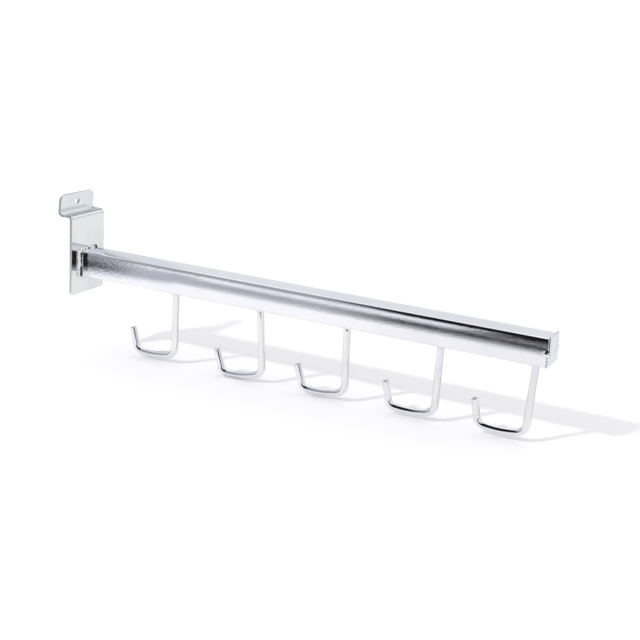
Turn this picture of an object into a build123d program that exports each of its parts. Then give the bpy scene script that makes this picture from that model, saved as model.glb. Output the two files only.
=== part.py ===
from build123d import *
import os
from math import cos, isclose, radians, sin, tan

# Slatwall hook bracket: a square-tube arm on a folded back plate, with wire hooks welded under the arm.
# The origin is on the panel's back face, at the height of the arm's axis: there the bracket bears on the wall.
# +X runs from the wall out along the arm, +Z is up, and the hooks lie in the arm's plane Y = 0.

# Back plate: one sheet folded into a panel, a ledge that enters the groove, and a lip behind the slat
sheet = 2.0
plate_width = 40.0
panel_below_axis = 23.0
ledge_above_axis = 37.2
seat_depth = 8.5
lip_height = 13.6
lip_lean = 4.0
bend_radius = 1.5
lip_corner_radius = 4.6
panel_corner_radius = 2.5
edge_break = 0.3
screw_hole_diameter = 5.0
screw_hole_rise = 7.2

# Arm: square tube from the panel's front face to the end cap
tube_side = 20.0
tube_wall = 1.2
tube_corner_radius = 1.8
tube_length = 358.0

# End cap: a plate as wide as the tube, set a little proud of its top and leaning out below, held by two tacks
cap_height = 19.5
cap_thickness = 1.6
cap_corner_radius = 1.0
cap_edge_radius = 0.8
cap_proud = 0.8
cap_tilt = 2.5

# Hooks: round wire, bent from the leg through a bowed run to a short tip that leans outwards
wire_diameter = 5.0
hook_leg = 42.8
leg_bend_radius = 7.0
leg_bend_angle = 77.0
bow_radius = 70.0
bow_angle = 19.0
tip_bend_radius = 6.0
tip_bend_angle = 70.5
tip_length = 13.0
wire_end_chamfer = 0.5

# Hook places, from the panel's front face, and how each was set by hand before it was welded:
# how far it stands off its even place, in millimetres, and its lean along the arm, in degrees
first_hook = 80.0
hook_pitch = 68.0
hook_sets = ((-1.0, 0.0), (0.8, 4.6), (0.4, 1.6), (0.8, -0.8), (-2.3, -2.6))

# Weld beads
root_bead = 1.8
root_bead_face = 1.6
hook_bead_width = 1.0
hook_bead_drop = 2.2
tack_radius = 2.1
tack_height = 1.0

# Places worked out from the sizes above
panel_front = sheet
tube_end = panel_front + tube_length
tube_half = tube_side / 2
wire_radius = wire_diameter / 2
lip_slope = tan(radians(lip_lean))
cap_half_lean = tan(radians(cap_tilt)) * tube_half

# The lip's front face, at the screw hole
screw_hole_plane = Plane(
    origin=(-seat_depth + screw_hole_rise * lip_slope, 0, ledge_above_axis + screw_hole_rise),
    x_dir=(0, 1, 0),
    z_dir=(cos(radians(lip_lean)), 0, -sin(radians(lip_lean))),
)

# The cap's inner face: it meets the tube's end along the top edge and stands off it below
cap_plane = Plane(
    origin=(tube_end + cap_half_lean, 0, 0),
    x_dir=(0, 1, 0),
    z_dir=(cos(radians(cap_tilt)), 0, sin(radians(cap_tilt))),
)

# The tube's underside, where the hooks are cut to seat
underside = Plane.XY.offset(-tube_half)


def hook_plane(number):
    """The plane that one hook is bent in, with its origin where the leg's axis meets the tube's underside."""
    offset_along, lean = hook_sets[number]
    place = panel_front + first_hook + number * hook_pitch + offset_along
    return Plane(
        origin=(place, 0, -tube_half),
        x_dir=(cos(radians(lean)), 0, sin(radians(lean))),
        z_dir=(0, -1, 0),
    )


def crosses_sheet(edge):
    """Whether an edge of the back plate runs straight through the sheet's thickness."""
    return isclose(edge.length, sheet, rel_tol=1e-6)


def on_rim(edge):
    """Whether an edge of the back plate is on the sheet's cut rim, and not a bend line from side to side."""
    return not crosses_sheet(edge) and not isclose(edge.length, plate_width, rel_tol=1e-6)


os.makedirs("parts", exist_ok=True)

# Back plate: the outline follows the front of the panel, the top of the ledge and the front of the lip
with BuildPart() as back_plate:
    with BuildSketch(Plane.XZ.offset(-plate_width / 2)):
        with BuildLine():
            FilletPolyline(
                (panel_front, -panel_below_axis),
                (panel_front, ledge_above_axis),
                (-seat_depth, ledge_above_axis),
                (-seat_depth + lip_height * lip_slope, ledge_above_axis + lip_height),
                radius=(bend_radius + sheet, bend_radius),
            )
            offset(amount=sheet, side=Side.LEFT)
        make_face()
    extrude(amount=plate_width)
    fillet(back_plate.edges().filter_by(crosses_sheet).group_by(Axis.Z)[0], panel_corner_radius)
    fillet(back_plate.edges().filter_by(crosses_sheet).group_by(Axis.Z)[-1], lip_corner_radius)
    chamfer(back_plate.edges().filter_by(on_rim), edge_break)
    with Locations(screw_hole_plane):
        Hole(screw_hole_diameter / 2, depth=2 * sheet)
back_plate.part.label = "back_plate"
export_step(back_plate.part, "parts/back_plate.step")

# Arm tube: a drawn section with rounded corners inside and out
with BuildPart() as arm_tube:
    with BuildSketch(Plane.YZ.offset(panel_front)):
        RectangleRounded(tube_side, tube_side, tube_corner_radius)
        offset(amount=-tube_wall, kind=Kind.INTERSECTION, mode=Mode.SUBTRACT)
    extrude(amount=tube_length)
arm_tube.part.label = "arm_tube"
export_step(arm_tube.part, "parts/arm_tube.step")

# End cap: its outer edges are ground round
with BuildPart() as end_cap:
    with BuildSketch(cap_plane):
        with Locations((0, tube_half + cap_proud - cap_height / 2)):
            RectangleRounded(tube_side, cap_height, cap_corner_radius)
    extrude(amount=cap_thickness)
    fillet(end_cap.faces().sort_by(Axis.X)[-1].edges(), cap_edge_radius)
end_cap.part.label = "end_cap"
export_step(end_cap.part, "parts/end_cap.step")

# Hooks: the leg starts above the tube's underside and is cut back to it, so that a leaning leg seats flat
for number in range(len(hook_sets)):
    with BuildPart() as hook:
        with BuildLine(hook_plane(number)):
            leg = Line((0, wire_diameter), (0, -hook_leg))
            leg_bend = JernArc(leg @ 1, leg % 1, leg_bend_radius, -leg_bend_angle)
            bow = JernArc(leg_bend @ 1, leg_bend % 1, bow_radius, -bow_angle)
            tip_bend = JernArc(bow @ 1, bow % 1, tip_bend_radius, -tip_bend_angle)
            tip = Line(tip_bend @ 1, tip_bend @ 1 + (tip_bend % 1) * tip_length)
        with BuildSketch(Plane(origin=leg @ 0, z_dir=leg % 0)):
            Circle(wire_radius)
        sweep()
        split(bisect_by=underside, keep=Keep.BOTTOM)
        wire_ends = hook.edges().filter_by(GeomType.CIRCLE)
        chamfer(wire_ends.sort_by(lambda edge: (edge.arc_center - tip @ 1).length)[0], wire_end_chamfer)
    hook.part.label = f"hook_{number + 1}"
    export_step(hook.part, f"parts/hook_{number + 1}.step")

# Root weld: a mitred bead along the corner between the panel and the tube
with BuildPart() as root_weld:
    with BuildSketch(Plane.YZ.offset(panel_front)):
        RectangleRounded(tube_side + 2 * root_bead, tube_side + 2 * root_bead, tube_corner_radius + root_bead)
    extrude(amount=root_bead)
    chamfer(root_weld.faces().sort_by(Axis.X)[-1].edges(), root_bead_face)
    with BuildSketch(Plane.YZ.offset(panel_front)):
        RectangleRounded(tube_side, tube_side, tube_corner_radius)
    extrude(amount=root_bead, mode=Mode.SUBTRACT)
root_weld.part.label = "root_weld"
export_step(root_weld.part, "parts/root_weld.step")

# Hook welds: a steep mitred bead round the top of each leg, cut to the tube's underside as the leg is
for number in range(len(hook_sets)):
    plane = hook_plane(number)
    with BuildPart() as hook_weld:
        with BuildSketch(plane):
            with BuildLine():
                Polyline(
                    (wire_radius, -hook_bead_drop),
                    (wire_radius, wire_radius),
                    (wire_radius + hook_bead_width, wire_radius),
                    (wire_radius + hook_bead_width, 0),
                    close=True,
                )
            make_face()
        revolve(axis=Axis(plane.origin, plane.y_dir))
        split(bisect_by=underside, keep=Keep.BOTTOM)
    hook_weld.part.label = f"hook_weld_{number + 1}"
    export_step(hook_weld.part, f"parts/hook_weld_{number + 1}.step")

# Cap welds: a domed tack across the seam at the middle of each side of the tube
tack_sphere_radius = (tack_radius**2 + tack_height**2) / (2 * tack_height)
tack_centre = tube_half + tack_height - tack_sphere_radius
with BuildPart() as cap_welds:
    with Locations((tube_end, -tack_centre, 0), (tube_end, tack_centre, 0)):
        Sphere(tack_sphere_radius)
    with Locations((tube_end, 0, 0)):
        Box(tube_side, tube_side, tube_side, mode=Mode.SUBTRACT)
cap_welds.part.label = "cap_welds"
export_step(cap_welds.part, "parts/cap_welds.step")
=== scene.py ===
"""Looks of a chromed slatwall hook bracket, built round its packed construction model.

The bracket is a square-tube arm welded to a folded back plate, with five wire hooks welded under the arm.
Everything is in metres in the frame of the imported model: +X runs out along the arm and +Z is up.
"""

import logging
from collections.abc import Callable, Iterator
from contextlib import contextmanager
from dataclasses import dataclass, field
from enum import Enum
from math import cos, radians, sin, tan
from random import Random

import bmesh
import bpy
from mathutils import Euler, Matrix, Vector


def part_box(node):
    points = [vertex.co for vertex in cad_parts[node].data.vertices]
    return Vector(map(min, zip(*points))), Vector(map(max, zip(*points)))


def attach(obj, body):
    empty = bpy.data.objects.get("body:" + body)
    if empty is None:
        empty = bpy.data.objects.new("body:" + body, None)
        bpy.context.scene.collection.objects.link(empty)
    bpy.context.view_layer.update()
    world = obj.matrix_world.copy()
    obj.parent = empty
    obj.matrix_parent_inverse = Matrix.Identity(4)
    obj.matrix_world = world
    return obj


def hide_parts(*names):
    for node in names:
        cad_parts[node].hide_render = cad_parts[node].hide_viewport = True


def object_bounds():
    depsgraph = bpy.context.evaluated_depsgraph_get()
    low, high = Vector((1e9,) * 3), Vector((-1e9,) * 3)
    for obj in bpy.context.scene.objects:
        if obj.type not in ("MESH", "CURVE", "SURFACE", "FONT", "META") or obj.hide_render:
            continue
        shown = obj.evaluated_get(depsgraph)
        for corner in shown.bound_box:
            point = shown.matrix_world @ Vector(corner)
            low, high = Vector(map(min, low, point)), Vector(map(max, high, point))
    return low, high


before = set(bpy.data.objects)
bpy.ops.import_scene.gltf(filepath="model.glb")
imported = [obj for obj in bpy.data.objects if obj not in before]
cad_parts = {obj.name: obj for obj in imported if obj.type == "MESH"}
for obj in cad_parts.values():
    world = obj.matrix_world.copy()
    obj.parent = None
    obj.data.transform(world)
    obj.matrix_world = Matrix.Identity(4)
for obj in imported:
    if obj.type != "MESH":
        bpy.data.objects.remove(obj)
CAD_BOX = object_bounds()

MM = 0.001
BODY = "root"
HOOK_NUMBERS = range(1, 6)

# How far the end cap leans out below
CAP_LEAN = radians(2.5)

# Sockets of a node that mixes colours: the two colours and the result
MIX_FIRST = 6
MIX_SECOND = 7
MIX_RESULT = 2

# Sockets of a node that turns one range of values into another
RANGES = ("From Min", "From Max", "To Min", "To Max")

# Where in a pattern's or a direction's range one look starts and stops turning into the other
CAST_SPAN = (0.38, 0.66)
HAZE_SPAN = (0.35, 0.75)
RIM_SPAN = (0.12, 0.35)
END_SPAN = (0.80, 0.90)

# Cosines above which an edge, or a flat face's normal, is along a direction
EDGE_ALONG = 0.99
FACE_ALONG = 0.999

Material = bpy.types.Material
Node = bpy.types.Node
Piece = bpy.types.Object
Socket = bpy.types.NodeSocket
Tree = bpy.types.NodeTree

log = logging.getLogger("bracket")


class Slot(Enum):
    """The record's material slots that new pieces are handed over with."""

    PLATE = "plate_chrome"
    TUBE = "tube_chrome"
    WELD = "weld_chrome"


def linear_colour(hex_code: str) -> tuple[float, float, float, float]:
    """Turns an sRGB hex value into a linear colour with full alpha.

    Args:
        hex_code: Six hex digits.

    Returns:
        Red, green, blue and alpha, linear.
    """
    channels = [int(hex_code[i : i + 2], 16) / 255 for i in (0, 2, 4)]
    red, green, blue = (c / 12.92 if c <= 0.04045 else ((c + 0.055) / 1.055) ** 2.4 for c in channels)
    return red, green, blue, 1.0


def add_node(
    tree: Tree,
    kind: str,
    settings: dict[str, object] | None = None,
    inputs: dict[str | int, object] | None = None,
) -> Node:
    """Adds one node with its settings, socket values and links.

    Args:
        tree: The node tree that gets the node.
        kind: The node's type name, without the prefix that all of them have.
        settings: Properties of the node itself.
        inputs: For each input socket, a value, or the output socket that links to it.

    Returns:
        The new node.
    """
    node = tree.nodes.new(f"ShaderNode{kind}")
    for name, value in (settings or {}).items():
        setattr(node, name, value)
    for name, value in (inputs or {}).items():
        if isinstance(value, Socket):
            tree.links.new(value, node.inputs[name])
        else:
            node.inputs[name].default_value = value
    return node


def bare_tree(block: Material | bpy.types.World) -> Tree:
    """Turns a new material's or world's nodes on and takes out those that it comes with."""
    block.use_nodes = True
    block.node_tree.nodes.clear()
    return block.node_tree


def per_metre(size_mm: float) -> float:
    """The texture scale on Object coordinates that repeats a pattern at about this size."""
    return 1.0 / (size_mm * MM)


@dataclass(frozen=True, kw_only=True)
class ChromeFinish:
    """Bright chrome plate, as it comes out over one kind of steel surface.

    Attributes:
        name: What was plated, which names the material.
        tint: The metal's colour, sRGB hex.
        cast: The colour that it drifts to where the plate is thinner, sRGB hex.
        cast_mm: Size of the patches of drifted colour.
        sheen: Roughness where the plate is clean and bright.
        haze: Roughness where it is a little dull.
        haze_mm: Size of the dull patches.
        peel_mm: Size of the gentle swells in the surface, which bend a reflection.
        peel_depth_mm: Height of those swells.
        grain_mm: Width of the polishing marks under the plate, drawn as coarse as they need to show.
        grain_depth_mm: Depth of those marks.
        grain_stretch: How much longer than wide a swell or a polishing mark is, along the arm.
    """

    name: str
    tint: str
    cast: str
    cast_mm: float
    sheen: float
    haze: float
    haze_mm: float
    peel_mm: float
    peel_depth_mm: float
    grain_mm: float
    grain_depth_mm: float
    grain_stretch: float = 1.0

    def material(self) -> Material:
        """Builds the finish as a node material.

        Returns:
            The new material.
        """
        made = bpy.data.materials.new(self.name)
        tree = bare_tree(made)
        spot = add_node(tree, "TexCoord")
        metal = add_node(
            tree,
            "BsdfPrincipled",
            inputs={
                "Base Color": self.colour(tree, spot),
                "Metallic": 1.0,
                "Roughness": self.roughness(tree, spot),
                "Normal": self.relief(tree, spot),
            },
        )
        add_node(tree, "OutputMaterial", inputs={"Surface": metal.outputs["BSDF"]})
        return made

    def colour(self, tree: Tree, spot: Node) -> Socket:
        """The plate's colour, which drifts a little from patch to patch.

        Args:
            tree: The material's node tree.
            spot: Its texture coordinates.

        Returns:
            The colour's socket.
        """
        patches = add_node(
            tree,
            "TexNoise",
            inputs={"Vector": spot.outputs["Object"], "Scale": per_metre(self.cast_mm), "Detail": 1.5},
        )
        share = add_node(
            tree, "MapRange", inputs={"Value": patches.outputs["Fac"], **dict(zip(RANGES, CAST_SPAN))}
        )
        drift = add_node(
            tree,
            "Mix",
            settings={"data_type": "RGBA"},
            inputs={
                "Factor": share.outputs["Result"],
                MIX_FIRST: linear_colour(self.tint),
                MIX_SECOND: linear_colour(self.cast),
            },
        )
        return drift.outputs[MIX_RESULT]

    def roughness(self, tree: Tree, spot: Node) -> Socket:
        """The plate's roughness, between its sheen and its haze.

        Args:
            tree: The material's node tree.
            spot: Its texture coordinates.

        Returns:
            The roughness's socket.
        """
        clouds = add_node(
            tree,
            "TexNoise",
            inputs={"Vector": spot.outputs["Object"], "Scale": per_metre(self.haze_mm), "Detail": 3.0},
        )
        ranges = dict(zip(RANGES, (*HAZE_SPAN, self.sheen, self.haze)))
        level = add_node(tree, "MapRange", inputs={"Value": clouds.outputs["Fac"], **ranges})
        return level.outputs["Result"]

    def relief(self, tree: Tree, spot: Node) -> Socket:
        """The surface's slow swells, with the polishing marks on them.

        Args:
            tree: The material's node tree.
            spot: Its texture coordinates.

        Returns:
            The normal's socket.
        """
        stretched = add_node(
            tree,
            "Mapping",
            inputs={"Vector": spot.outputs["Object"], "Scale": (1.0 / self.grain_stretch, 1.0, 1.0)},
        ).outputs["Vector"]
        steps: dict[str | int, object] = {}
        for size_mm, depth_mm, detail, strength in (
            (self.peel_mm, self.peel_depth_mm, 1.0, self.swell_strength(tree, spot)),
            (self.grain_mm, self.grain_depth_mm, 2.0, self.grain_strength(tree, spot)),
        ):
            waves = add_node(
                tree, "TexNoise", inputs={"Vector": stretched, "Scale": per_metre(size_mm), "Detail": detail}
            )
            steps |= {"Height": waves.outputs["Fac"], "Distance": depth_mm * MM, "Strength": strength}
            steps["Normal"] = add_node(tree, "Bump", inputs=steps).outputs["Normal"]
        return steps["Normal"]

    def swell_strength(self, tree: Tree, spot: Node) -> float | Socket:
        """How strongly the swells show: the same all over."""
        return 1.0

    def grain_strength(self, tree: Tree, spot: Node) -> float | Socket:
        """How strongly the polishing marks show: the same all over."""
        return 1.0


@dataclass(frozen=True, kw_only=True)
class CutChrome(ChromeFinish):
    """Chrome plate over stock that was cut to size, whose cut faces stay duller than the rest.

    Attributes:
        cut_tint: The cut faces' colour, sRGB hex.
        cut_haze: Their roughness.
    """

    cut_tint: str
    cut_haze: float

    def cut(self, tree: Tree, spot: Node) -> Socket:
        """A socket that is 1 on the cut faces and 0 elsewhere, which each kind of stock works out."""
        raise NotImplementedError

    def colour(self, tree: Tree, spot: Node) -> Socket:
        """The plate's colour, and its greyer colour on the cut faces."""
        split = add_node(
            tree,
            "Mix",
            settings={"data_type": "RGBA"},
            inputs={
                "Factor": self.cut(tree, spot),
                MIX_FIRST: super().colour(tree, spot),
                MIX_SECOND: linear_colour(self.cut_tint),
            },
        )
        return split.outputs[MIX_RESULT]

    def roughness(self, tree: Tree, spot: Node) -> Socket:
        """The plate's roughness, and its duller cut faces."""
        level = add_node(
            tree,
            "MapRange",
            inputs={
                "Value": self.cut(tree, spot),
                "To Min": super().roughness(tree, spot),
                "To Max": self.cut_haze,
            },
        )
        return level.outputs["Result"]


@dataclass(frozen=True, kw_only=True)
class SheetChrome(CutChrome):
    """Chrome plate over sheet, which was sheared all round."""

    def cut(self, tree: Tree, spot: Node) -> Socket:
        """Where the sheared rim is: its faces look along the sheet's width.

        Args:
            tree: The material's node tree.
            spot: Its texture coordinates.

        Returns:
            A socket that is 1 on the rim and 0 on the faces.
        """
        way = add_node(tree, "SeparateXYZ", inputs={"Vector": spot.outputs["Normal"]})
        size = add_node(tree, "Math", settings={"operation": "ABSOLUTE"}, inputs={0: way.outputs["Y"]})
        mask = add_node(
            tree, "MapRange", inputs={"Value": size.outputs["Value"], **dict(zip(RANGES, RIM_SPAN))}
        )
        return mask.outputs["Result"]


@dataclass(frozen=True, kw_only=True)
class WireChrome(CutChrome):
    """Chrome plate over wire, which was cropped at its ends.

    Attributes:
        end_above_mm: A height that only the cropped ends' upward faces are above.
        end_fade_mm: How far below it the ends' look fades out.
    """

    end_above_mm: float
    end_fade_mm: float = 1.0

    def cut(self, tree: Tree, spot: Node) -> Socket:
        """Where the cropped ends are: their faces look up, and no other that does is as high.

        Args:
            tree: The material's node tree.
            spot: Its texture coordinates.

        Returns:
            A socket that is 1 on the ends and 0 elsewhere.
        """
        heights = ((self.end_above_mm - self.end_fade_mm) * MM, self.end_above_mm * MM)
        shares = []
        for output, span in (("Normal", END_SPAN), ("Object", heights)):
            way = add_node(tree, "SeparateXYZ", inputs={"Vector": spot.outputs[output]})
            share = add_node(
                tree, "MapRange", inputs={"Value": way.outputs["Z"], **dict(zip(RANGES, span))}
            )
            shares.append(share.outputs["Result"])
        both = add_node(tree, "Math", settings={"operation": "MULTIPLY"}, inputs=dict(enumerate(shares)))
        return both.outputs["Value"]


@dataclass(frozen=True, kw_only=True)
class TubeChrome(ChromeFinish):
    """Chrome plate over drawn tube, cleaned where it was welded and duller and coarser just past there.

    Attributes:
        clean_mm: How far from the panel's back the cleaned end starts and stops fading.
        dull_mm: How far from the panel's back the dull part starts and stops fading.
        dull_haze: Roughness added where it is dullest.
        root_swell: How many times deeper the swells are where it is dullest.
    """

    clean_mm: tuple[float, float]
    dull_mm: tuple[float, float]
    dull_haze: float
    root_swell: float

    def fade(self, tree: Tree, spot: Node, peak: float, arm: float) -> Socket:
        """A value that is small on the cleaned end, peaks just past it and fades along the arm.

        Args:
            tree: The material's node tree.
            spot: Its texture coordinates.
            peak: The value where the tube is dullest.
            arm: The value along the rest of the arm.

        Returns:
            The value's socket.
        """
        place = add_node(tree, "SeparateXYZ", inputs={"Vector": spot.outputs["Object"]})
        levels = []
        for (start, stop), first, last in ((self.clean_mm, 0.0, 1.0), (self.dull_mm, peak, arm)):
            ranges = dict(zip(RANGES, (start * MM, stop * MM, first, last)))
            level = add_node(
                tree,
                "MapRange",
                settings={"interpolation_type": "SMOOTHSTEP"},
                inputs={"Value": place.outputs["X"], **ranges},
            )
            levels.append(level.outputs["Result"])
        share = add_node(tree, "Math", settings={"operation": "MULTIPLY"}, inputs=dict(enumerate(levels)))
        return share.outputs["Value"]

    def roughness(self, tree: Tree, spot: Node) -> Socket:
        """The plate's roughness, with what the root adds."""
        level = add_node(
            tree,
            "Math",
            settings={"operation": "ADD"},
            inputs={0: super().roughness(tree, spot), 1: self.fade(tree, spot, self.dull_haze, 0.0)},
        )
        return level.outputs["Value"]

    def swell_strength(self, tree: Tree, spot: Node) -> float | Socket:
        """How strongly the swells show: most at the root."""
        return self.fade(tree, spot, 1.0, 1.0 / self.root_swell)

    def grain_strength(self, tree: Tree, spot: Node) -> float | Socket:
        """How strongly the polishing marks show: everywhere but on the cleaned end."""
        return self.fade(tree, spot, 1.0, 1.0)


# Smooth cold-rolled sheet keeps the plate like a mirror, with only a slow waver in what it shows
SHEET_CHROME = SheetChrome(
    name="bright_chrome_on_sheet",
    tint="EAEEF0",
    cast="E2E5EA",
    cast_mm=22.0,
    sheen=0.05,
    haze=0.09,
    haze_mm=14.0,
    peel_mm=9.0,
    peel_depth_mm=0.006,
    grain_mm=0.6,
    grain_depth_mm=0.0004,
    cut_tint="E0E2E1",
    cut_haze=0.5,
)

# The cap was cut from thicker strip and ground round, so its edges catch thin bright lines
CAP_CHROME = ChromeFinish(
    name="bright_chrome_on_ground_strip",
    tint="E6E8EF",
    cast="E0E2EA",
    cast_mm=9.0,
    sheen=0.07,
    haze=0.12,
    haze_mm=6.0,
    peel_mm=5.0,
    peel_depth_mm=0.008,
    grain_mm=0.6,
    grain_depth_mm=0.001,
)

# Drawn tube is polished along its length, so its reflections break up along fine marks, most at the weld
TUBE_CHROME = TubeChrome(
    name="bright_chrome_on_drawn_tube",
    tint="F0F0F5",
    cast="ECECF2",
    cast_mm=25.0,
    sheen=0.06,
    haze=0.10,
    haze_mm=18.0,
    peel_mm=1.7,
    peel_depth_mm=0.055,
    grain_mm=0.75,
    grain_depth_mm=0.024,
    grain_stretch=1.5,
    clean_mm=(8.5, 10.5),
    dull_mm=(28.0, 95.0),
    dull_haze=0.015,
    root_swell=25.0,
)

# Drawn wire is small and round, so the plate shows bright with a few thin dark lines
WIRE_CHROME = WireChrome(
    name="bright_chrome_on_wire",
    tint="EAEAEE",
    cast="E4E4E9",
    cast_mm=12.0,
    sheen=0.05,
    haze=0.08,
    haze_mm=9.0,
    peel_mm=3.0,
    peel_depth_mm=0.002,
    grain_mm=0.5,
    grain_depth_mm=0.0006,
    cut_tint="A4A4A8",
    cut_haze=0.3,
    end_above_mm=-52.0,
)

# Weld metal stays lumpy under the plate, so it breaks into small glints and dark specks; its darkest spots
# are painted shade, in a second finish
WELD_CHROME = ChromeFinish(
    name="chrome_over_weld_metal",
    tint="F2F2F0",
    cast="D6D4CA",
    cast_mm=1.8,
    sheen=0.07,
    haze=0.16,
    haze_mm=2.0,
    peel_mm=1.1,
    peel_depth_mm=0.05,
    grain_mm=0.4,
    grain_depth_mm=0.006,
)

# A tack is one quick drop that froze smooth, so the plate on it is as bright as on wire
TACK_CHROME = ChromeFinish(
    name="bright_chrome_on_tack_weld",
    tint="F2F2F4",
    cast="DCDCDA",
    cast_mm=1.6,
    sheen=0.04,
    haze=0.08,
    haze_mm=2.0,
    peel_mm=1.6,
    peel_depth_mm=0.02,
    grain_mm=0.4,
    grain_depth_mm=0.001,
)

# Painted shade and dark reflection: a dull dark brown-grey finish put on small spots of the welds, where
# crevices and dark surroundings show darkest
PAINTED_SHADE = ChromeFinish(
    name="painted_shade_on_weld_metal",
    tint="4A4846",
    cast="2A2928",
    cast_mm=0.9,
    sheen=0.25,
    haze=0.45,
    haze_mm=1.2,
    peel_mm=0.8,
    peel_depth_mm=0.03,
    grain_mm=0.3,
    grain_depth_mm=0.004,
)


def deselect_all() -> None:
    """Leaves nothing selected, so that the next operator acts on new work only."""
    for thing in bpy.context.selected_objects:
        thing.select_set(False)


def new_object(name: str, add: Callable[..., object], **settings: object) -> Piece:
    """Adds one object and names it.

    Args:
        name: Its name.
        add: The operator that makes it.
        **settings: The operator's settings.

    Returns:
        The new object.
    """
    deselect_all()
    add(**settings)
    made = bpy.context.active_object
    made.name = name
    return made


def pick(piece: Piece) -> None:
    """Leaves one piece selected and active, so that the next operator acts on it only."""
    deselect_all()
    piece.select_set(True)
    bpy.context.view_layer.objects.active = piece


@contextmanager
def editing(piece: Piece) -> Iterator[Piece]:
    """Opens one piece in edit mode with nothing selected, and closes it again.

    Args:
        piece: The mesh object to edit.

    Yields:
        The same object.
    """
    pick(piece)
    bpy.ops.object.mode_set(mode="EDIT")
    bpy.ops.mesh.select_mode(type="VERT")
    bpy.ops.mesh.select_all(action="DESELECT")
    yield piece
    bpy.ops.object.mode_set(mode="OBJECT")


def select_points(piece: Piece, test: Callable[[Vector], bool]) -> None:
    """Selects the points of a piece in edit mode by where they are.

    Args:
        piece: The object in edit mode.
        test: Whether a point at this place is selected.
    """
    bpy.ops.mesh.select_all(action="DESELECT")
    work = bmesh.from_edit_mesh(piece.data)
    for point in work.verts:
        point.select = test(point.co)
    work.select_flush(True)
    bmesh.update_edit_mesh(piece.data)


def select_edges(piece: Piece, test: Callable[[Vector], bool]) -> None:
    """Selects the edges of a piece in edit mode by the way that they run.

    Args:
        piece: The object in edit mode.
        test: Whether an edge that runs along this unit vector is selected.
    """
    bpy.ops.mesh.select_mode(type="EDGE")
    bpy.ops.mesh.select_all(action="DESELECT")
    work = bmesh.from_edit_mesh(piece.data)
    for edge in work.edges:
        edge.select = test((edge.verts[1].co - edge.verts[0].co).normalized())
    bmesh.update_edit_mesh(piece.data)


def apply_modifier(piece: Piece, kind: str, **settings: object) -> None:
    """Adds a modifier with its settings and applies it to the mesh.

    Args:
        piece: The mesh object.
        kind: The modifier's type name.
        **settings: Properties of the modifier.
    """
    pick(piece)
    modifier = piece.modifiers.new(kind.lower(), kind)
    for name, value in settings.items():
        setattr(modifier, name, value)
    bpy.ops.object.modifier_apply(modifier=modifier.name)


def settle(piece: Piece) -> None:
    """Puts a piece's place, turn and size into its mesh."""
    pick(piece)
    bpy.ops.object.transform_apply(location=True, rotation=True, scale=True)


def dress(piece: Piece, finish: Material) -> None:
    """Gives a piece one material all over.

    Args:
        piece: The object.
        finish: Its material.
    """
    piece.data.materials.clear()
    piece.data.materials.append(finish)


def paint_shade(piece: Piece, painted_shade: Material, test: Callable[[Vector], bool]) -> None:
    """Paints shade on the faces at some places of a piece, in the dark finish.

    Args:
        piece: The mesh object.
        painted_shade: The dark finish that paints the shade.
        test: Whether a point at this place gets the painted shade.
    """
    if painted_shade.name not in piece.data.materials:
        piece.data.materials.append(painted_shade)
    with editing(piece):
        select_points(piece, test)
        piece.active_material_index = 1
        bpy.ops.object.material_slot_assign()


def hand_over(piece: Piece, slot: Slot, *nodes: str) -> None:
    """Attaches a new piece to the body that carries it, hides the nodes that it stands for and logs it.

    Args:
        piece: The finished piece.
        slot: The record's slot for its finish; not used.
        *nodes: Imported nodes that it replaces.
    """
    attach(piece, BODY)
    if nodes:
        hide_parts(*nodes)
    stood_for = ", ".join(nodes) or "itself"
    log.info("%s: %d faces, stands for %s", piece.name, len(piece.data.polygons), stood_for)


@dataclass
class ArmTube:
    """The square tube, with the slightly crowned walls that drawing leaves.

    Attributes:
        wall: Thickness of the wall.
        corner_radius: Outer radius of the four long corners.
        crown: How far a wall's face has turned where it meets a corner, in degrees.
        wall_steps: Facets across one wall.
        corner_steps: Facets round one corner.
    """

    wall: float = 1.2 * MM
    corner_radius: float = 1.7 * MM
    crown: float = 4.5
    wall_steps: int = 12
    corner_steps: int = 10

    def build(self, finish: Material) -> None:
        """Draws the section with arcs, runs it along the arm and gives it its wall.

        Args:
            finish: The tube's material.
        """
        low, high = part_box("arm_tube")
        half = (high.z - low.z) / 2
        turn = radians(self.crown)
        reach = (half - self.corner_radius) / (1 + sin(turn) - cos(turn))
        wall_radius = reach + self.corner_radius
        corner_place = reach * sin(turn)
        offset = wall_radius - half
        tube = new_object("drawn_arm_tube", bpy.ops.mesh.primitive_plane_add, size=half, location=(0, 0, 0))
        faces = ((-1, 0), (0, 1), (1, 0), (0, -1))
        with editing(tube):
            bpy.ops.mesh.select_all(action="SELECT")
            bpy.ops.mesh.merge(type="CENTER")
            start = (low.x, offset - wall_radius * cos(turn), -wall_radius * sin(turn))
            bpy.ops.transform.translate(value=start)
            for (out_y, out_z), (next_y, next_z) in zip(faces, faces[1:] + faces[:1]):
                bpy.ops.mesh.spin(
                    steps=self.wall_steps,
                    angle=2 * turn,
                    center=(low.x, -out_y * offset, -out_z * offset),
                    axis=(1, 0, 0),
                )
                bpy.ops.mesh.spin(
                    steps=self.corner_steps,
                    angle=radians(90) - 2 * turn,
                    center=(low.x, (out_y + next_y) * corner_place, (out_z + next_z) * corner_place),
                    axis=(1, 0, 0),
                )
            bpy.ops.mesh.select_all(action="SELECT")
            bpy.ops.mesh.remove_doubles(threshold=0.01 * MM)
            length = high.x - low.x
            bpy.ops.mesh.extrude_region_move(TRANSFORM_OT_translate={"value": (length, 0, 0)})
            bpy.ops.mesh.select_all(action="SELECT")
            bpy.ops.mesh.normals_make_consistent(inside=False)
        apply_modifier(tube, "SOLIDIFY", thickness=self.wall, offset=-1.0)
        bpy.ops.object.shade_smooth_by_angle(angle=radians(30))
        dress(tube, finish)
        hand_over(tube, Slot.TUBE, "arm_tube")


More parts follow.
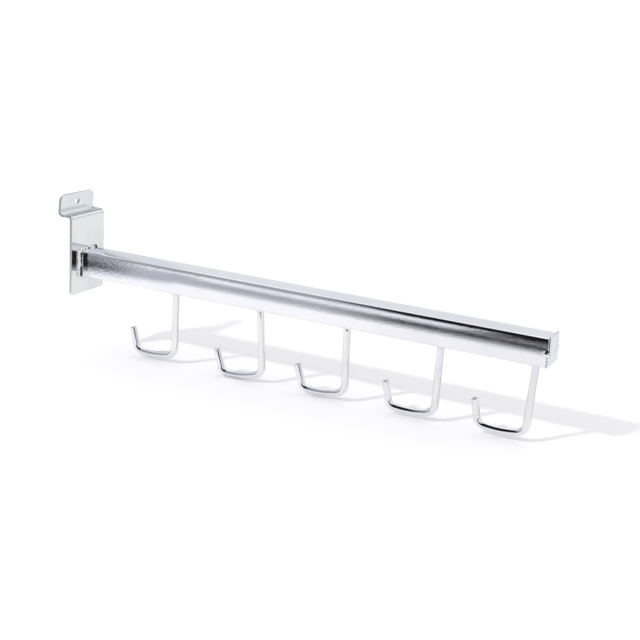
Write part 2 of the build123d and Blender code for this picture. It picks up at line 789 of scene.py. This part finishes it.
@dataclass
class WeldBead:
    """A bead of weld metal, laid drop on drop and run together.

    Attributes:
        name: The piece's name.
        draws: What the drops' sizes are drawn from.
        voxel: Grid on which the drops are fused.
        drops: The drops laid so far.
    """

    name: str
    draws: Random
    voxel: float = 0.22 * MM
    drops: list[Piece] = field(default_factory=list)

    def drop(self, place: Vector, size: Vector, turn: Euler, spread: float) -> None:
        """Lays one drop: the first is modelled, and the rest are copies of it.

        Args:
            place: Its centre.
            size: Its half sizes before it is turned.
            turn: How it is turned.
            spread: How much its size may vary, as a share.
        """
        if self.drops:
            pick(self.drops[0])
            bpy.ops.object.duplicate(linked=False)
        else:
            deselect_all()
            bpy.ops.mesh.primitive_uv_sphere_add(segments=18, ring_count=12, radius=1.0)
        laid = bpy.context.active_object
        laid.location = place
        laid.rotation_euler = turn
        laid.scale = size * (1 + self.draws.uniform(-spread, spread))
        self.drops.append(laid)

    def fuse(self, finish: Material) -> Piece:
        """Joins the drops into one skin and softens the valleys between them.

        Args:
            finish: The bead's material.

        Returns:
            The finished bead.
        """
        deselect_all()
        for laid in self.drops:
            laid.select_set(True)
        bead = self.drops[0]
        bpy.context.view_layer.objects.active = bead
        bpy.ops.object.join()
        bead.name = self.name
        settle(bead)
        apply_modifier(bead, "REMESH", mode="VOXEL", voxel_size=self.voxel)
        apply_modifier(bead, "SMOOTH", factor=0.5, iterations=3)
        bpy.ops.object.shade_smooth()
        dress(bead, finish)
        return bead


class Side(Enum):
    """The tube's four sides, by how many quarter turns about the arm they are from its top."""

    TOP = 0
    NEAR = 1
    UNDER = 2
    FAR = 3


@dataclass(frozen=True)
class RunOfBead:
    """How the root bead was laid along one side of the tube.

    Attributes:
        up_panel: Its reach on the panel.
        along_tube: Its reach on the tube.
        pitch: Distance from one drop to the next.
        spread: How much the drops' sizes vary, as a share.
        nuggets: Lumps on it: each one's place along the side and its radius.
        painted_shades: Where its toe on the tube is painted dark as shade: each stretch's start and end
            along the side.
    """

    up_panel: float
    along_tube: float
    pitch: float
    spread: float
    nuggets: tuple[tuple[float, float], ...] = ()
    painted_shades: tuple[tuple[float, float], ...] = ()


@dataclass
class RootWeld:
    """The bead round the tube where it meets the panel: smooth at the sides and lumpy on top.

    Attributes:
        runs: How it was laid along each side.
        corner_gap: How far from a corner the last drop on a side lies.
        overlap: Half a drop's length along the bead, in pitches.
        nugget_rise: How far a lump's centre is off the panel, as a share of its radius.
        toe: Where the part of a toe that is painted dark as shade starts, as a share of the bead's reach on
            the tube.
        toe_height: How far the part of a toe that is painted dark as shade reaches out from the tube.
    """

    runs: dict[Side, RunOfBead] = field(
        default_factory=lambda: {
            Side.TOP: RunOfBead(
                up_panel=1.1 * MM,
                along_tube=1.2 * MM,
                pitch=1.0 * MM,
                spread=0.16,
                nuggets=(
                    (-7.3 * MM, 1.2 * MM),
                    (-2.6 * MM, 1.4 * MM),
                    (3.4 * MM, 1.6 * MM),
                    (8.4 * MM, 1.5 * MM),
                ),
                painted_shades=((-5.1 * MM, -3.9 * MM), (-1.4 * MM, 1.2 * MM), (7.2 * MM, 9.4 * MM)),
            ),
            Side.NEAR: RunOfBead(3.3 * MM, 1.6 * MM, 0.6 * MM, 0.03, painted_shades=((-9.8 * MM, -2.0 * MM),)),
            Side.UNDER: RunOfBead(1.5 * MM, 1.3 * MM, 0.9 * MM, 0.08),
            Side.FAR: RunOfBead(1.9 * MM, 1.3 * MM, 0.8 * MM, 0.07, ((3.5 * MM, 1.6 * MM),)),
        }
    )
    corner_gap: float = 1.0 * MM
    overlap: float = 1.5
    nugget_rise: float = 0.3
    toe: float = 0.7
    toe_height: float = 1.5 * MM

    def build(self, finish: Material, painted_shade: Material) -> None:
        """Lays the drops along the four sides.

        Args:
            finish: The bead's material.
            painted_shade: The dark material that paints shade on stretches of its toes.
        """
        low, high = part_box("arm_tube")
        half = (high.z - low.z) / 2
        bead = WeldBead("root_weld_bead", Random(5))
        for side, run in self.runs.items():
            turn = Euler((side.value * radians(90), 0, 0))
            length = 2 * (half - self.corner_gap)
            count = round(length / run.pitch)
            size = Vector((run.along_tube, self.overlap * run.pitch, run.up_panel))
            laid = [(low.x, i / count * length - length / 2, size) for i in range(count + 1)]
            for along, radius in run.nuggets:
                laid.append((low.x + self.nugget_rise * radius, along, Vector((radius,) * 3)))
            for root, along, size in laid:
                place = Vector((root, along, half))
                place.rotate(turn)
                bead.drop(place, size, turn, run.spread)
        made = bead.fuse(finish)
        # The dark stretches on the toes are painted shade for the dark crevice and reflections beside the
        # bead
        self.paint_shade_on_toes(made, low.x, half, painted_shade)
        hand_over(made, Slot.WELD, "root_weld")

    def paint_shade_on_toes(self, made: Piece, root: float, half: float, painted_shade: Material) -> None:
        """Paints shade on stretches of the bead's toes, where the crevice beside the bead shows dark.

        Args:
            made: The bead.
            root: Where along the arm the tube starts.
            half: Half the tube's side.
            painted_shade: The dark material of the painted shade.
        """
        for side, run in self.runs.items():
            turn_back = Euler((-side.value * radians(90), 0, 0)).to_matrix()
            toe = root + self.toe * run.along_tube
            for start, stop in run.painted_shades:

                def on_toe(place: Vector) -> bool:
                    """Whether a point is on this stretch of this side's toe."""
                    turned = turn_back @ place
                    out = turned.z - half
                    return -half < out < self.toe_height and start < turned.y < stop and turned.x > toe

                paint_shade(made, painted_shade, on_toe)


@dataclass
class HookWelds:
    """The small beads at the tops of the hooks' legs, some with a tongue that ran down the wire and is
    painted dark as shade.

    Attributes:
        wire_radius: Radius of the hooks' wire.
        reach: How far a drop spreads from the wire.
        run_down: How far a drop runs down the wire.
        drops: Drops round one leg.
        drop_width: A drop's half width round the leg, as a share of its reach.
        twist: How far each leg's drops are turned from the last leg's, as a share of the gap between drops.
        tongues: For each hook, how far its tongue runs down, or nothing; the tongue is painted dark as the
            shade where the leg meets the tube.
        tongue_width: Half the width of a tongue.
        tongue_reach: How far a tongue stands off the wire, as a share of a drop's reach.
        tongue_turn: Where round the leg the tongue is, from the front, in degrees.
    """

    wire_radius: float = 2.5 * MM
    reach: float = 0.8 * MM
    run_down: float = 2.3 * MM
    drops: int = 9
    drop_width: float = 1.7
    twist: float = 0.3
    tongues: tuple[float, ...] = (0.0, 3.3 * MM, 3.9 * MM, 2.9 * MM, 0.0)
    tongue_width: float = 1.1 * MM
    tongue_reach: float = 0.6
    tongue_turn: float = 22.0

    def build(self, finish: Material, painted_shade: Material) -> None:
        """Lays a bead round each leg, no two alike.

        Args:
            finish: The beads' material.
            painted_shade: The dark material that paints shade on the tongues.
        """
        tongue_turn = Euler((0, 0, radians(self.tongue_turn)))
        front = Vector((0, -self.wire_radius, 0))
        front.rotate(tongue_turn)
        for number, tongue in zip(HOOK_NUMBERS, self.tongues):
            low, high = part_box(f"hook_weld_{number}")
            top = Vector(((low.x + high.x) / 2, (low.y + high.y) / 2, high.z))
            bead = WeldBead(f"hook_weld_bead_{number}", Random(20 + number), voxel=0.18 * MM)
            for i in range(self.drops):
                turn = Euler((0, 0, (i + self.twist * number) / self.drops * radians(360)))
                place = Vector((self.wire_radius, 0, 0))
                place.rotate(turn)
                size = Vector((self.reach, self.reach * self.drop_width, self.run_down))
                bead.drop(top + place, size, turn, spread=0.12)
            root = top + front
            if tongue:
                size = Vector((self.tongue_width, self.tongue_reach * self.reach, tongue))
                bead.drop(root, size, tongue_turn, spread=0.05)
            piece = bead.fuse(finish)
            # Painted shade: the tongue below the drops is coloured dark for the shade where the leg meets
            # the tube
            if tongue:

                def on_tongue(place: Vector) -> bool:
                    """Whether a point is on this bead's tongue, below its drops."""
                    return (place - root).xy.length < self.tongue_width and place.z < root.z - self.run_down

                paint_shade(piece, painted_shade, on_tongue)
            hand_over(piece, Slot.WELD, f"hook_weld_{number}")


@dataclass
class EndCap:
    """The cap on the tube's end, cut from strip, leaning out below, with its edges ground round.

    Attributes:
        thickness: Its thickness.
        height: Its height.
        proud: How far it stands above the tube.
        corner: Radius of its four corners.
        edge: Radius of its ground edges.
    """

    thickness: float = 1.6 * MM
    height: float = 19.5 * MM
    proud: float = 0.8 * MM
    corner: float = 1.0 * MM
    edge: float = 0.7 * MM

    def build(self, finish: Material) -> None:
        """Rounds a plate's corners and edges where it stands.

        Args:
            finish: The cap's material.
        """
        low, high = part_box("arm_tube")
        out = Vector((cos(CAP_LEAN), 0, sin(CAP_LEAN)))
        up = Vector((-sin(CAP_LEAN), 0, cos(CAP_LEAN)))
        hinge = Vector((high.x, 0, high.z))
        rise = high.z / cos(CAP_LEAN) - high.z + self.proud
        centre = hinge + up * (rise - self.height / 2) + out * self.thickness / 2
        cap = new_object(
            "ground_end_cap",
            bpy.ops.mesh.primitive_cube_add,
            size=1.0,
            location=centre,
            rotation=(0, -CAP_LEAN, 0),
            scale=(self.thickness, high.y - low.y, self.height),
        )
        settle(cap)
        with editing(cap):
            select_edges(cap, lambda way: abs(way.dot(out)) > EDGE_ALONG)
            bpy.ops.mesh.bevel(offset=self.corner, segments=6, affect="EDGES")
            select_edges(cap, lambda way: abs(way.dot(out)) < 1 - EDGE_ALONG)
            bpy.ops.mesh.bevel(offset=self.edge, segments=6, affect="EDGES")
        for face in cap.data.polygons:
            face.use_smooth = abs(face.normal.dot(out)) < FACE_ALONG
        dress(cap, finish)
        hand_over(cap, Slot.PLATE, "end_cap")


@dataclass
class CapTacks:
    """The tack welds that hold the end cap on the tube's two sides, each with a thin run down the seam.

    Attributes:
        half_width: Half a tack's width along the arm.
        half_height: Half its height.
        proud: How far it stands off the tube.
        lumps: Its lumps: how far along the arm each is, in half widths, and its size as a share.
        skew: How much lower a lump is that is further along the arm, as a share.
        back: How far it lies back from the seam, along the arm.
        run_radius: Half the width of the run under it.
        run_proud: How far the run stands off the tube.
        run_end: How far below the tube's axis the run ends.
        run_drops: Drops along the run.
        run_overlap: Half a drop's length along the run, as a share of the run's half width.
        dark_reflection_rise: How far above a tack's middle its top, painted with a dark reflection, starts.
        dark_reflection_back: How far back from a tack's middle its top, painted with a dark reflection,
            starts.
    """

    half_width: float = 2.5 * MM
    half_height: float = 2.3 * MM
    proud: float = 1.9 * MM
    lumps: tuple[tuple[float, float], ...] = ((0.0, 1.0), (0.5, 0.66), (-0.5, 0.6))
    skew: float = 0.6
    back: float = 0.2 * MM
    run_radius: float = 0.95 * MM
    run_proud: float = 0.55 * MM
    run_end: float = 8.6 * MM
    run_drops: int = 9
    run_overlap: float = 1.2
    dark_reflection_rise: float = 0.9 * MM
    dark_reflection_back: float = 0.5 * MM

    def build(self, finish: Material, painted_shade: Material) -> None:
        """Lays one lumpy tack with its run on each side, as one piece.

        Args:
            finish: The tacks' material.
            painted_shade: The dark material that paints a dark reflection on their tops.
        """
        low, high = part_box("cap_welds")
        tube_low, tube_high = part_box("arm_tube")
        centre = (low + high) / 2 - Vector((self.back, 0, 0))
        bead = WeldBead("cap_tack_welds", Random(41), voxel=0.16 * MM)
        for side in (tube_low.y, tube_high.y):
            for shift, share in self.lumps:
                along = centre.x + shift * self.half_width
                up = centre.z - self.skew * shift * self.half_height
                size = Vector((self.half_width, self.proud, self.half_height)) * share
                bead.drop(Vector((along, side, up)), size, Euler(), spread=0.08)
            for i in range(self.run_drops):
                down = (i + 1) / self.run_drops * self.run_end
                slit = (tube_high.z + down) * tan(CAP_LEAN)
                size = Vector((self.run_radius, self.run_proud, self.run_overlap * self.run_radius))
                bead.drop(Vector((tube_high.x + slit / 2, side, -down)), size, Euler(), spread=0.06)
        made = bead.fuse(finish)
        # Painted reflection: each tack's top, towards the cap, is coloured dark for the dark surroundings
        # that it would mirror
        dark_reflection_from = centre + Vector((-self.dark_reflection_back, 0, self.dark_reflection_rise))
        paint_shade(made, painted_shade, lambda place: place.x > dark_reflection_from.x and place.z > dark_reflection_from.z)
        hand_over(made, Slot.WELD, "cap_welds")


@dataclass
class CapSeam:
    """The braze that fills the wedge between the tube's end and the leaning cap.

    Attributes:
        recess: How far it lies below the cap's rim.
        depth: How long the wedge is made before the cap's plane trims it.
        soften: Width of its softened outer edges.
    """

    recess: float = 0.2 * MM
    depth: float = 1.6 * MM
    soften: float = 0.3 * MM

    def build(self, finish: Material) -> None:
        """Cuts a block that covers the tube's end to the cap's plane.

        Args:
            finish: The braze's material.
        """
        low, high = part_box("arm_tube")
        cap_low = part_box("end_cap")[0]
        foot = Vector((high.x, low.y + self.recess, cap_low.z + self.recess))
        head = Vector((high.x + self.depth, high.y - self.recess, high.z - self.recess))
        wedge = new_object(
            "cap_seam_braze",
            bpy.ops.mesh.primitive_cube_add,
            size=1.0,
            location=(foot + head) / 2,
            scale=head - foot,
        )
        settle(wedge)
        with editing(wedge):
            bpy.ops.mesh.select_all(action="SELECT")
            bpy.ops.mesh.bisect(
                plane_co=(high.x, 0.0, high.z),
                plane_no=(cos(CAP_LEAN), 0.0, sin(CAP_LEAN)),
                use_fill=True,
                clear_outer=True,
            )
            bpy.ops.mesh.select_all(action="SELECT")
            bpy.ops.mesh.bevel(offset=self.soften, segments=4, affect="EDGES")
            bpy.ops.mesh.select_all(action="SELECT")
            bpy.ops.mesh.normals_make_consistent(inside=False)
        dress(wedge, finish)
        hand_over(wedge, Slot.WELD)


@dataclass
class PlatedNodes:
    """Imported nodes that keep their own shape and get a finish.

    Attributes:
        nodes: Their names.
    """

    nodes: tuple[str, ...]

    def dress(self, finish: Material) -> None:
        """Gives each node the finish.

        Args:
            finish: Their material.
        """
        for name in self.nodes:
            dress(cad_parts[name], finish)
            log.info("%s: keeps its shape, finished as %s", name, finish.name)


@dataclass(frozen=True)
class Card:
    """A paper card beside the object that only its reflections see.

    Attributes:
        name: The card's name.
        centre: Its middle.
        size: Its width and height.
        turn: How it is turned from lying flat, in degrees.
        tones: Its brightness at its two ends, from its own -X to its own +X.
        fade: Where along its width the brightness starts and stops changing, from -0.5 to 0.5.
        paper: Its colour, sRGB hex.
        one_sided: Whether it is seen from its front only.
    """

    name: str
    centre: tuple[float, float, float]
    size: tuple[float, float]
    turn: tuple[float, float, float]
    tones: tuple[float, float]
    fade: tuple[float, float] = (-0.5, 0.5)
    paper: str = "F4F5FF"
    one_sided: bool = False


@dataclass
class Studio:
    """The pale floor, the soft light and the camera.

    Attributes:
        floor_reach: Half the floor's side.
        floor_tone: The floor's colour, sRGB hex.
        key_strength: Irradiance of the key light, which casts the faint shadow.
        key_spread: How wide the key light looks from the object, in degrees.
        key_turn: How the key light is turned from straight down, in degrees.
        surround: The walls' linear tones by height, from level to straight up.
        lens: The camera's focal length, in millimetres.
        sensor: Its sensor's width, in millimetres.
        camera_place: Where the camera stands.
        camera_turn: How it is turned, in degrees.
    """

    floor_reach: float = 30.0
    floor_tone: str = "F3F2F4"
    key_strength: float = 1.05
    key_spread: float = 3.5
    key_turn: tuple[float, float, float] = (50.1, 0.0, -32.1)
    surround: tuple[tuple[float, tuple[float, float, float]], ...] = (
        (0.0, (0.82, 0.84, 0.855)),
        (0.35, (0.806, 0.832, 0.85)),
        (0.60, (1.0, 1.0, 1.0)),
        (1.0, (1.06, 1.06, 1.06)),
    )
    lens: float = 69.31
    sensor: float = 36.0
    camera_place: tuple[float, float, float] = (0.54411, -0.73778, 0.22515)
    camera_turn: tuple[float, float, float] = (73.868, -3.623, 26.216)

    def cards(self, floor: float) -> tuple[Card, ...]:
        """The cards that give the bright plate its dark lines and its whites.

        Args:
            floor: Height of the floor.

        Returns:
            The cards.
        """
        upright = (90.0, 0.0, 0.0)
        flat = (0.0, 0.0, 0.0)
        quarter = (0.0, 0.0, 90.0)
        slanted = (0.0, 0.0, -34.4)
        across = (0.0, 0.0, 55.6)
        leaning = (90.0, -14.6, 0.0)
        level = floor + 0.001
        upper = floor + 0.002
        white = "FFFFFF"
        pale = "F5FAFF"
        darkens = (-0.286, -0.218)
        pales = (0.424, 0.484)
        return (
            Card(
                "near_front_card", (0.315, -0.1125, level), (0.77, 0.185),
                flat, (1.09, 0.99), (-0.25, -0.07), white,
            ),
            Card("low_left_card", (-0.120, -0.331, upper), (0.065, 0.20), slanted, (0.62, 0.54)),
            Card("low_edge_card", (0.40, -0.2265, level), (1.1, 0.043), flat, (0.64, 0.48), darkens),
            Card("low_front_card", (0.40, -0.298, level), (1.1, 0.10), flat, (0.46, 0.045), darkens),
            Card(
                "middle_front_card", (0.4, -0.505, level), (0.21, 1.1),
                quarter, (0.37, 1.0), (-0.5, -0.05),
            ),
            Card("right_front_card", (0.78, -0.72, upper), (1.2, 0.72), flat, (0.03, 0.03)),
            Card("right_wall_card", (1.2, -1.08, floor + 0.1), (1.3, 0.2), upright, (0.03, 0.03)),
            Card("left_edge_card", (-0.306, -0.024, upper), (0.070, 0.64), across, (0.38, 0.98)),
            Card("left_near_card", (-0.365, -0.108, upper), (0.6, 0.152), slanted, (0.085, 0.52), pales),
            Card("left_middle_card", (-0.448, -0.229, upper), (0.6, 0.142), slanted, (0.36, 0.62), pales),
            Card("left_far_card", (-0.561, -0.393, upper), (0.6, 0.258), slanted, (0.17, 0.62), pales),
            Card(
                "tall_front_card", (-0.275, -0.61, floor + 0.75), (1.45, 1.70),
                leaning, (0.44, 0.01), (0.0456, 0.0886),
            ),
            Card(
                "canopy_card", (0.2, -0.315, floor + 1.55), (2.4, 0.59),
                flat, (0.52, 0.01), (-0.26, -0.215),
            ),
            Card(
                "overhead_card", (0.20, 0.75, floor + 1.6), (1.5, 2.4),
                quarter, (0.72, 1.45), (-0.3, -0.1), white,
            ),
            Card("hook_back_card", (0.20, 0.050, level), (0.6, 0.07), flat, (0.75, 0.75), paper=white),
            Card("back_floor_card", (0.40, 1.06, level), (3.0, 1.92), flat, (0.93, 0.93), paper=white),
            Card(
                "ledge_card", (0.68, 0.90, floor + 0.2437), (0.40, 0.08),
                upright, (0.46, 0.46), paper=pale,
            ),
            Card("bend_card", (-0.19, 0.90, floor + 0.79), (0.44, 0.30), upright, (0.30, 0.30), paper=pale),
            Card(
                "left_back_card", (-1.05, 0.90, floor + 0.5), (1.1, 1.0),
                upright, (0.23, 0.82), (0.335, 0.40), pale,
            ),
            Card(
                "root_card", (0.060, -0.099, 0.0352), (0.152, 0.038),
                (90.0, -79.0, -90.0), (0.55, 0.005), (-0.5, -0.42), one_sided=True,
            ),
        )

    def build(self) -> None:
        """Makes the floor, the cards, the key light, the surround and the camera."""
        level = CAD_BOX[0].z
        self.lay_floor(level)
        for card in self.cards(level):
            self.stand_card(card)
        self.hang_key()
        self.paint_surround()
        self.place_camera()
        bpy.context.scene.view_settings.view_transform = "Standard"

    def lay_floor(self, level: float) -> None:
        """Lays the pale matte floor.

        Args:
            level: Its height.
        """
        side = 2 * self.floor_reach
        floor = new_object("floor", bpy.ops.mesh.primitive_plane_add, size=side, location=(0, 0, level))
        made = bpy.data.materials.new("matte_white_board")
        tree = bare_tree(made)
        board = add_node(tree, "BsdfDiffuse", inputs={"Color": linear_colour(self.floor_tone)})
        add_node(tree, "OutputMaterial", inputs={"Surface": board.outputs["BSDF"]})
        dress(floor, made)

    def stand_card(self, card: Card) -> None:
        """Stands one card where only reflections see it.

        Args:
            card: The card.
        """
        stood = new_object(card.name, bpy.ops.mesh.primitive_plane_add, size=1.0, location=card.centre)
        stood.rotation_euler = [radians(angle) for angle in card.turn]
        stood.scale = (*card.size, 1.0)
        made = bpy.data.materials.new(f"{card.name}_paper")
        tree = bare_tree(made)
        place = add_node(tree, "TexCoord").outputs["Object"]
        across = add_node(tree, "SeparateXYZ", inputs={"Vector": place}).outputs["X"]
        tone = add_node(
            tree, "MapRange", inputs={"Value": across, **dict(zip(RANGES, card.fade + card.tones))}
        )
        glow = add_node(
            tree,
            "Emission",
            inputs={"Color": linear_colour(card.paper), "Strength": tone.outputs["Result"]},
        )
        surface = glow.outputs["Emission"]
        if card.one_sided:
            behind = add_node(tree, "NewGeometry").outputs["Backfacing"]
            clear = add_node(tree, "BsdfTransparent").outputs["BSDF"]
            mixed = add_node(tree, "MixShader", inputs={"Fac": behind, 1: surface, 2: clear})
            surface = mixed.outputs["Shader"]
        add_node(tree, "OutputMaterial", inputs={"Surface": surface})
        dress(stood, made)
        stood.visible_camera = False
        stood.visible_diffuse = False
        stood.visible_shadow = False

    def hang_key(self) -> None:
        """Hangs the weak key light in front, which casts the faint shadow behind."""
        lamp = new_object("key_light", bpy.ops.object.light_add, type="SUN")
        lamp.rotation_euler = [radians(angle) for angle in self.key_turn]
        lamp.data.energy = self.key_strength
        lamp.data.angle = radians(self.key_spread)
        lamp.visible_glossy = False

    def paint_surround(self) -> None:
        """Paints the pale walls and ceiling that the plate reflects."""
        world = bpy.data.worlds.new("studio_surround")
        tree = bare_tree(world)
        direction = add_node(tree, "TexCoord").outputs["Generated"]
        height = add_node(tree, "SeparateXYZ", inputs={"Vector": direction}).outputs["Z"]
        ramp = add_node(tree, "ValToRGB", inputs={"Fac": height})
        for place, _ in self.surround[1:-1]:
            ramp.color_ramp.elements.new(place)
        for element, (place, tone) in zip(ramp.color_ramp.elements, self.surround):
            element.position = place
            element.color = (*tone, 1.0)
        glow = add_node(tree, "Background", inputs={"Color": ramp.outputs["Color"]})
        add_node(tree, "OutputWorld", inputs={"Surface": glow.outputs["Background"]})
        bpy.context.scene.world = world

    def place_camera(self) -> None:
        """Stands the camera at the photograph's view."""
        camera = new_object("photo_camera", bpy.ops.object.camera_add, location=self.camera_place)
        camera.rotation_euler = [radians(angle) for angle in self.camera_turn]
        camera.data.lens = self.lens
        camera.data.sensor_width = self.sensor
        bpy.context.scene.camera = camera


def main() -> None:
    """Builds the bracket's pieces in order, then the studio round them."""
    logging.basicConfig(level=logging.INFO, format="%(name)s %(message)s")
    weld = WELD_CHROME.material()
    PlatedNodes(("back_plate",)).dress(SHEET_CHROME.material())
    PlatedNodes(tuple(f"hook_{number}" for number in HOOK_NUMBERS)).dress(WIRE_CHROME.material())
    ArmTube().build(TUBE_CHROME.material())
    EndCap().build(CAP_CHROME.material())
    # A dark finish that paints shade and dark reflections on spots of the welds
    painted_shade = PAINTED_SHADE.material()
    RootWeld().build(weld, painted_shade)
    tack = TACK_CHROME.material()
    HookWelds().build(tack, painted_shade)
    CapTacks().build(tack, painted_shade)
    CapSeam().build(tack)
    Studio().build()


if __name__ == "__main__":
    main()
